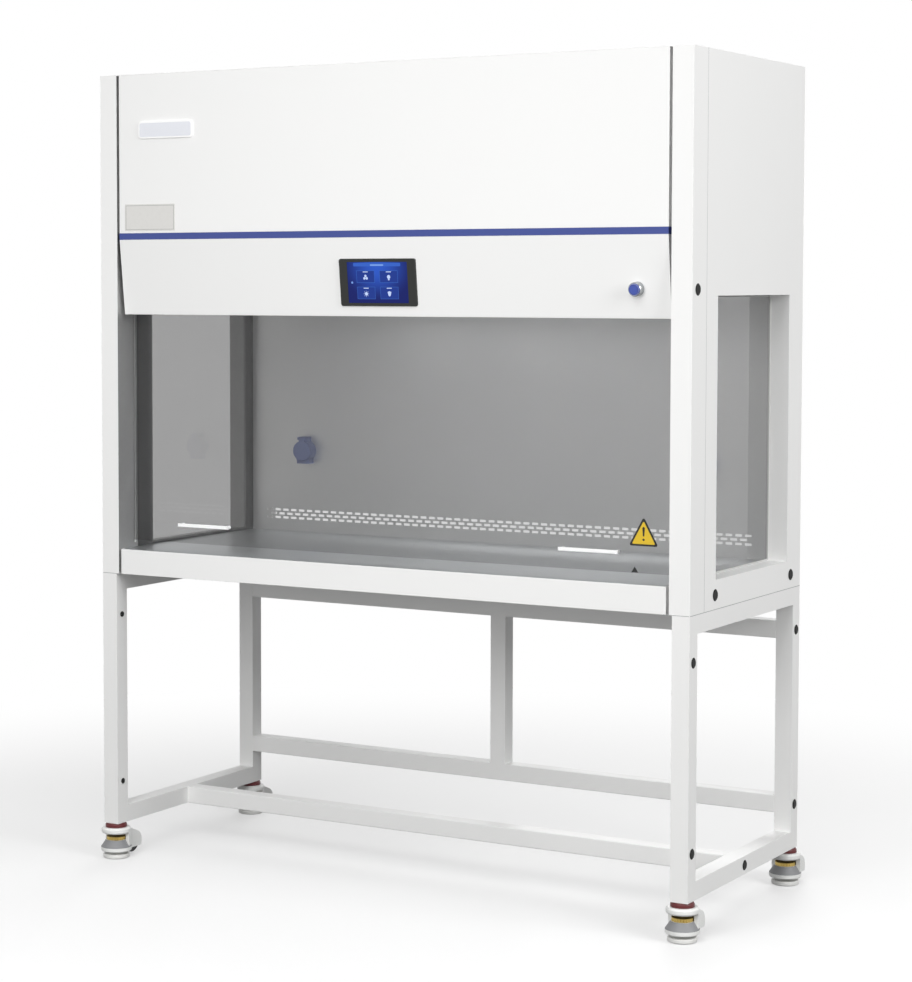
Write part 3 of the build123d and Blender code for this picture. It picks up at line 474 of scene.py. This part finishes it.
def strip(u0, u1, v0, v1):
    """Outline of an upright rectangle."""
    return [(u0, v0), (u1, v0), (u1, v1), (u0, v1)]


def build_seams():
    """Shadow lines where the folded sheets and the stand meet."""
    shade = moulded("shadow of a sheet seam", "a2a4a4", 0.8, gloss=0.1)
    for side, sign in (("left", -1), ("right", 1)):
        place = facing_side(sign * half_width, 0.0, 0.0, sign)
        marks = [strip(sign * seam_y - 0.5, sign * seam_y + 0.5, seam_z, cabinet_top),
                 strip(*sorted((sign * 1.0, sign * (cabinet_depth - 1.0))), seam_z - 0.6, seam_z + 0.6)]
        plates("sheet_seams_" + side, marks, 0.0, 0.06, place, "hood", shade)
        front = facing_front(sign * (half_width - 30.5), 0.0, 0.0)
        plates("column_seam_" + side, [strip(-29.5, 29.5, seam_z - 0.6, seam_z + 0.6)], 0.0, 0.06, front,
               "hood", shade)


def build_bolt_heads():
    """Black socket screws on the inner faces of the front legs."""
    for side, sign in (("left", -1), ("right", 1)):
        place = facing_side(sign * leg_inner_x, 0.0, 0.0, -sign)
        heads = [circle(6.5, -sign * leg_bolt_y, z, 20) for z in leg_bolt_heights]
        plates("leg_screws_" + side, heads, 0.0, 1.6, place, "hood", black, 0.4)


def socket(tree, name, kind, value):
    """Named input of a node tree; returns its identifier."""
    made = tree.interface.new_socket(name=name, in_out="INPUT", socket_type=kind)
    made.default_value = value
    return made.identifier


def screw_tree(head, recess_shade_finish):
    """Node tree that sets a row of screws, each a domed head whose hex socket is a flat disc in the
    second finish, as painted shade.
    """
    tree = bpy.data.node_groups.new("screw_row", "GeometryNodeTree")
    tree.interface.new_socket(name="Geometry", in_out="OUTPUT", socket_type="NodeSocketGeometry")
    keys = {"Count": socket(tree, "Count", "NodeSocketInt", 8),
            "Pitch": socket(tree, "Pitch", "NodeSocketFloat", 0.1),
            "Radius": socket(tree, "Radius", "NodeSocketFloat", 0.004)}
    entry = add(tree, "NodeGroupInput")
    count, pitch, radius = [entry.outputs[k] for k in ("Count", "Pitch", "Radius")]
    step = add(tree, "ShaderNodeCombineXYZ", {"X": pitch})
    line = add(tree, "GeometryNodeMeshLine", {"Count": count, "Offset": step.outputs["Vector"]},
               mode="OFFSET")
    inner = add(tree, "ShaderNodeMath", {0: radius, 1: 0.62}, operation="MULTIPLY")
    middle = add(tree, "ShaderNodeMath", {0: radius, 1: 0.42}, operation="MULTIPLY")
    dome = add(tree, "GeometryNodeMeshCone", {"Vertices": 20, "Radius Bottom": radius,
                                              "Radius Top": inner.outputs["Value"], "Depth": 0.0016})
    # painted shade: the hex socket of each head is a flat black disc
    pit = add(tree, "GeometryNodeMeshCylinder", {"Vertices": 6, "Radius": middle.outputs["Value"],
                                                 "Depth": 0.00005})
    lift = add(tree, "GeometryNodeTransform", {"Geometry": pit.outputs["Mesh"],
                                               "Translation": (0, 0, 0.00163)})
    heads = add(tree, "GeometryNodeInstanceOnPoints", {"Points": line.outputs["Mesh"],
                                                       "Instance": dome.outputs["Mesh"]})
    pits = add(tree, "GeometryNodeInstanceOnPoints", {"Points": line.outputs["Mesh"],
                                                      "Instance": lift.outputs["Geometry"]})
    both = add(tree, "GeometryNodeJoinGeometry")
    for made, finish in ((heads, head), (pits, recess_shade_finish)):
        real = add(tree, "GeometryNodeRealizeInstances", {"Geometry": made.outputs["Instances"]})
        dressed = add(tree, "GeometryNodeSetMaterial", {"Geometry": real.outputs["Geometry"],
                                                        "Material": finish})
        tree.links.new(dressed.outputs["Geometry"], both.inputs["Geometry"])
    out = add(tree, "NodeGroupOutput")
    tree.links.new(both.outputs["Geometry"], out.inputs["Geometry"])
    return tree, keys


def disc_tree(finish):
    """Node tree that lays small discs out on a grid, as the holes of a perforated sheet drawn as flat
    discs of painted shade.
    """
    tree = bpy.data.node_groups.new("perforation", "GeometryNodeTree")
    tree.interface.new_socket(name="Geometry", in_out="OUTPUT", socket_type="NodeSocketGeometry")
    keys = {"Length": socket(tree, "Length", "NodeSocketFloat", 1.0),
            "Width": socket(tree, "Width", "NodeSocketFloat", 0.3),
            "Columns": socket(tree, "Columns", "NodeSocketInt", 40),
            "Rows": socket(tree, "Rows", "NodeSocketInt", 12),
            "Radius": socket(tree, "Radius", "NodeSocketFloat", 0.004)}
    entry = add(tree, "NodeGroupInput")
    grid = add(tree, "GeometryNodeMeshGrid", {"Size X": entry.outputs["Length"],
                                              "Size Y": entry.outputs["Width"],
                                              "Vertices X": entry.outputs["Columns"],
                                              "Vertices Y": entry.outputs["Rows"]})
    disc = add(tree, "GeometryNodeMeshCircle", {"Vertices": 10, "Radius": entry.outputs["Radius"]},
               fill_type="NGON")
    spread = add(tree, "GeometryNodeInstanceOnPoints", {"Points": grid.outputs["Mesh"],
                                                        "Instance": disc.outputs["Mesh"]})
    real = add(tree, "GeometryNodeRealizeInstances", {"Geometry": spread.outputs["Instances"]})
    dressed = add(tree, "GeometryNodeSetMaterial", {"Geometry": real.outputs["Geometry"],
                                                    "Material": finish})
    out = add(tree, "NodeGroupOutput")
    tree.links.new(dressed.outputs["Geometry"], out.inputs["Geometry"])
    return tree, keys


def bake(tree, keys, values, place):
    """Plain mesh made by a node tree with the given inputs, moved to its place."""
    base = bpy.data.objects.new("seed", bpy.data.meshes.new("seed"))
    bpy.context.scene.collection.objects.link(base)
    step = base.modifiers.new("nodes", "NODES")
    step.node_group = tree
    for name, value in values.items():
        step[keys[name]] = value
    ready = base.evaluated_get(bpy.context.evaluated_depsgraph_get())
    mesh = bpy.data.meshes.new_from_object(ready)
    base.modifiers.remove(step)
    bpy.data.objects.remove(base)
    mesh.transform(place)
    return mesh


def join_meshes(name, meshes, body):
    """One object from several meshes that use the same materials."""
    bm = bmesh.new()
    for mesh in meshes:
        bm.from_mesh(mesh)
    whole = bpy.data.meshes.new(name)
    bm.to_mesh(whole)
    bm.free()
    for material in meshes[0].materials:
        whole.materials.append(material)
    for mesh in meshes:
        bpy.data.meshes.remove(mesh)
    obj = bpy.data.objects.new(name, whole)
    bpy.context.scene.collection.objects.link(obj)
    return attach(obj, body)


def axes(origin, along, out):
    """Frame with its first axis along a row and its third out of the sheet, origin in millimetres."""
    along, out = Vector(along), Vector(out)
    side = out.cross(along)
    turn = Matrix((along, side, out)).transposed().to_4x4()
    return Matrix.Translation((Vector(origin) - Vector((0, mid_y, 0))) * 0.001) @ turn


def build_screws():
    """Screws round the rear cover."""
    tree, keys = screw_tree(zinc, black)
    rows = [(axes((-5.5 * screw_pitch, cabinet_depth, z), (1, 0, 0), (0, 1, 0)), 12, screw_pitch)
            for z in (rear_low, rear_high)]
    rows += [(axes((x, cabinet_depth, rear_low + side_pitch), (0, 0, 1), (0, 1, 0)), 4, side_pitch)
             for x in (-rear_side, rear_side)]
    meshes = [bake(tree, keys, {"Count": count, "Pitch": pitch * 0.001, "Radius": 0.0042}, place)
              for place, count, pitch in rows]
    join_meshes("cover_screws", meshes, "hood")


def build_perforation():
    """Rows of holes in the diffuser over the worktop, each a near-black disc of painted shade."""
    # painted shade: the holes are flat near-black discs under the diffuser
    tree, keys = disc_tree(moulded("painted shade in the diffuser holes", "1a1a1b", 0.8, gloss=0.1))
    corner, far = [Vector(c) * 1000 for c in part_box("diffuser")]
    inset, blank = 60.0, 110.0
    length = far.x - corner.x - 2 * inset
    span = far.y - corner.y - inset - blank
    centre = ((corner.x + far.x) / 2, corner.y + blank + span / 2 + mid_y, corner.z - 0.08)
    mesh = bake(tree, keys, {"Length": length * 0.001, "Width": span * 0.001, "Columns": 66, "Rows": 20,
                             "Radius": 0.0032}, axes(centre, (1, 0, 0), (0, 0, -1)))
    join_meshes("diffuser_holes", [mesh], "hood")


def build_gaskets():
    """Sealing bead round each side window, on the outer face of the pane."""
    bead = moulded("grey silicone bead", "b9bab8", 0.45)
    for side, sign in (("left", -1), ("right", 1)):
        place = facing_side(sign * pane_x, 0.0, 0.0, sign)
        bars = frame_outlines(window_length, window_height, 3.5, sign * window_mid_y, window_mid_z)
        plates("window_bead_" + side, bars, 0.0, 3.0, place, "hood", bead)


build_display()
build_button_face()
build_plates()
build_warning_sign()
build_seams()
build_bolt_heads()
build_screws()
build_perforation()
build_gaskets()


# ---------------------------------------------------------------- castor finishes
def paint_castors():
    """Painted shade on the upward faces of the dish under the thumbwheel, yellow zinc thumbwheel and a
    pale foot pad.
    """
    dish = moulded("painted shade in the castor dish", "868789", 0.5)
    pad = moulded("pale foot pad", "e6e6e3", 0.35)
    for name, obj in nodes.items():
        if name.startswith("castor_housing"):
            obj.data.materials.append(dish)
            for face in obj.data.polygons:
                z = face.center.z * 1000
                # painted shade: upward faces in the dish band take the grey dish finish
                if dish_foot < z < dish_top:
                    face.material_index = 1 if face.normal.z > 0.2 else 0
        if name.startswith("castor_foot"):
            obj.data.materials.append(brass)
            obj.data.materials.append(pad)
            for face in obj.data.polygons:
                face.material_index = 1 if face.center.z > 0.030 else 2


paint_castors()


def paint_liners():
    """Stainless inner faces of the coated side walls and columns, in a darker grey that is painted
    shade.
    """
    for side, inward in (("left", 1), ("right", -1)):
        for piece in ("side_panel_", "front_column_"):
            obj = nodes[piece + side]
            obj.data.materials.append(liner)
            for face in obj.data.polygons:
                # inward faces in the opening get the darker steel: stainless with painted shade
                if face.normal.x * inward > 0.9 and abs(face.center.x) * 1000 < lined_to:
                    face.material_index = 1


paint_liners()


# ---------------------------------------------------------------- floor, light and camera
def pale_floor():
    """Pale floor that keeps the object's shadow and runs out into the white surround."""
    made, tree, shader, place = new_material("pale studio floor")
    seen = seen_directly(tree)
    tone = add(tree, "ShaderNodeMix", {"Factor": seen, 6: srgb("202020"),
                                       7: srgb("fcfcfc")}, data_type="RGBA")
    tree.links.new(tone.outputs[2], shader.inputs["Base Color"])
    shader.inputs["Roughness"].default_value = 0.6
    reach = add(tree, "ShaderNodeVectorMath", {0: place}, operation="LENGTH")
    far = add(tree, "ShaderNodeMapRange", {"Value": reach.outputs["Value"], "From Min": 1.0,
                                           "From Max": 2.6, "To Min": 0.45},
              interpolation_type="SMOOTHSTEP")
    fade = add(tree, "ShaderNodeMath", {0: far.outputs["Result"], 1: seen},
               operation="MULTIPLY")
    white = add(tree, "ShaderNodeEmission", {"Color": srgb("ffffff"), "Strength": 1.0})
    both = add(tree, "ShaderNodeMixShader", {0: fade.outputs["Value"], 1: shader.outputs["BSDF"],
                                             2: white.outputs["Emission"]})
    out = next(n for n in tree.nodes if n.type == "OUTPUT_MATERIAL")
    tree.links.new(both.outputs["Shader"], out.inputs["Surface"])
    return made


def soft_box(name, place, size, power, aim):
    """A square soft box aimed at a point."""
    data = bpy.data.lights.new(name, "AREA")
    data.shape = "SQUARE"
    data.size = size
    data.energy = power
    box = bpy.data.objects.new(name, data)
    bpy.context.scene.collection.objects.link(box)
    box.location = place
    box.rotation_euler = (Vector(aim) - Vector(place)).to_track_quat("-Z", "Y").to_euler()
    return box


def build_stage():
    """Floor, soft boxes and a white surround."""
    bpy.ops.mesh.primitive_plane_add(size=80, location=(0, 0, -0.0005))
    floor = bpy.context.object
    floor.name = "floor"
    paint(floor, pale_floor())
    soft_box("key_box", (0.9, -4.4, 4.4), 3.0, 84.0, (0, 0, 0.9))
    soft_box("side_box", (5.4, -1.2, 3.0), 3.0, 205.0, (0, 0, 0.8))
    low_box = soft_box("front_box", (0.1, -3.5, 1.3), 2.0, 58.0, (-0.15, 0, 0.55))
    low_box.visible_camera = False
    low_box.visible_glossy = False
    soft_box("roof_box", (0.4, -2.2, 5.2), 3.0, 26.0, (0, -0.6, 0.0))
    soft_box("back_box", (-1.6, 5.4, 3.4), 3.0, 90.0, (0, 0, 0.9))
    world = bpy.data.worlds.new("surround")
    world.use_nodes = True
    bpy.context.scene.world = world
    tree = world.node_tree
    tree.nodes.clear()
    seen = seen_directly(tree)
    soft = add(tree, "ShaderNodeBackground", {"Color": srgb("ffffff"), "Strength": 0.2})
    white = add(tree, "ShaderNodeBackground", {"Color": srgb("ffffff"), "Strength": 1.0})
    both = add(tree, "ShaderNodeMixShader", {0: seen, 1: soft.outputs["Background"],
                                             2: white.outputs["Background"]})
    add(tree, "ShaderNodeOutputWorld", {"Surface": both.outputs["Shader"]})


def build_camera():
    """Camera with a long lens, in front of the hood and to its right."""
    data = bpy.data.cameras.new("camera")
    data.sensor_width = 36.0
    data.lens = 90.81
    data.shift_x = 0.1063
    data.shift_y = -0.0645
    data.clip_end = 200.0
    camera = bpy.data.objects.new("camera", data)
    bpy.context.scene.collection.objects.link(camera)
    camera.location = (2.77869, -4.67756 - mid_y * 0.001, 1.36821)
    camera.rotation_euler = (math.radians(90 - 3.37), 0, math.radians(31.27))
    bpy.context.scene.camera = camera


build_stage()
build_camera()
bpy.context.scene.view_settings.view_transform = "Standard"
